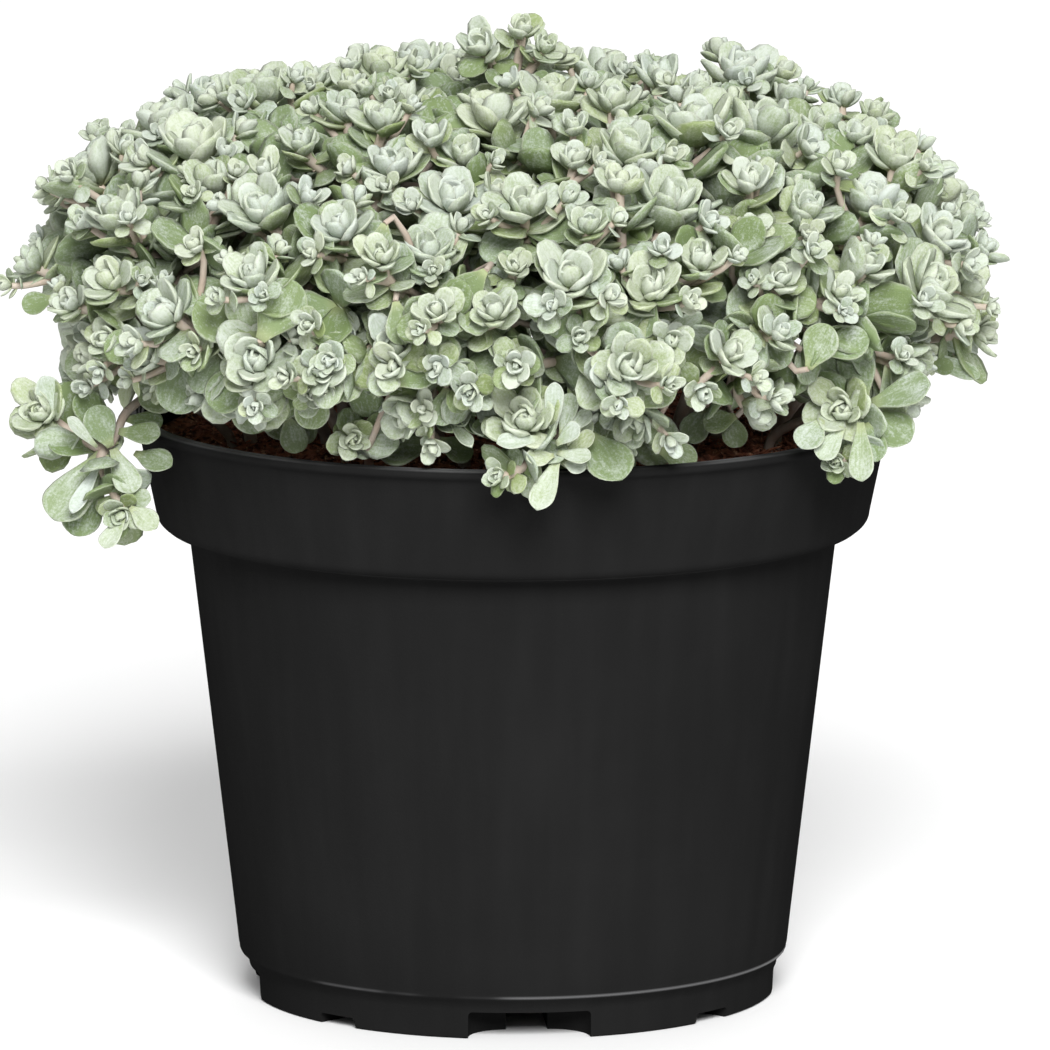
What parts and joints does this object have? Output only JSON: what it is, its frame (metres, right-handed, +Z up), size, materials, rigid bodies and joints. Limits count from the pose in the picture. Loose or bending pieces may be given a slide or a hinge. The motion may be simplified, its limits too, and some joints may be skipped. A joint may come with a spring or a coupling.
{
  "type": "potted succulent plant",
  "caption": "Mounded mat of powdery grey-green stonecrop rosettes on leafy stems, growing in peat in a round tapered black nursery pot with a tall rim collar.",
  "frame": {"origin": "middle of the pot's foot, on the surface that it stands on", "axes": "+Z up along the pot's axis, -Y towards the front that the picture shows, +X to the viewer's right"},
  "size_m": [0.1571, 0.1558, 0.1521],
  "materials": {
    "black_plastic": "satin black moulded plastic with a fine grain",
    "peat": "loose dark reddish-brown peat, matt",
    "powdery_leaf": "thick leaves with a pale powdery bloom, matt"
  },
  "bodies": {
    "root": {"pot": "black_plastic", "soil": "peat", "left_trailer": "powdery_leaf", "front_trailer": "powdery_leaf", "right_trailer": "powdery_leaf", "right_reacher": "powdery_leaf", "front_bud": "powdery_leaf", "crown": "powdery_leaf", "shoot_01": "powdery_leaf", "shoot_02": "powdery_leaf", "shoot_03": "powdery_leaf", "shoot_04": "powdery_leaf", "shoot_05": "powdery_leaf", "shoot_06": "powdery_leaf", "shoot_07": "powdery_leaf", "shoot_08": "powdery_leaf", "shoot_09": "powdery_leaf", "shoot_10": "powdery_leaf", "shoot_11": "powdery_leaf", "shoot_12": "powdery_leaf", "shoot_13": "powdery_leaf", "shoot_14": "powdery_leaf", "shoot_15": "powdery_leaf", "shoot_16": "powdery_leaf", "shoot_17": "powdery_leaf", "shoot_18": "powdery_leaf", "shoot_19": "powdery_leaf", "shoot_20": "powdery_leaf", "shoot_21": "powdery_leaf", "shoot_22": "powdery_leaf", "shoot_23": "powdery_leaf", "shoot_24": "powdery_leaf", "shoot_25": "powdery_leaf", "shoot_26": "powdery_leaf", "shoot_27": "powdery_leaf", "shoot_28": "powdery_leaf", "shoot_29": "powdery_leaf", "shoot_30": "powdery_leaf", "shoot_31": "powdery_leaf", "shoot_32": "powdery_leaf", "shoot_33": "powdery_leaf"}
  },
  "joints": []
}
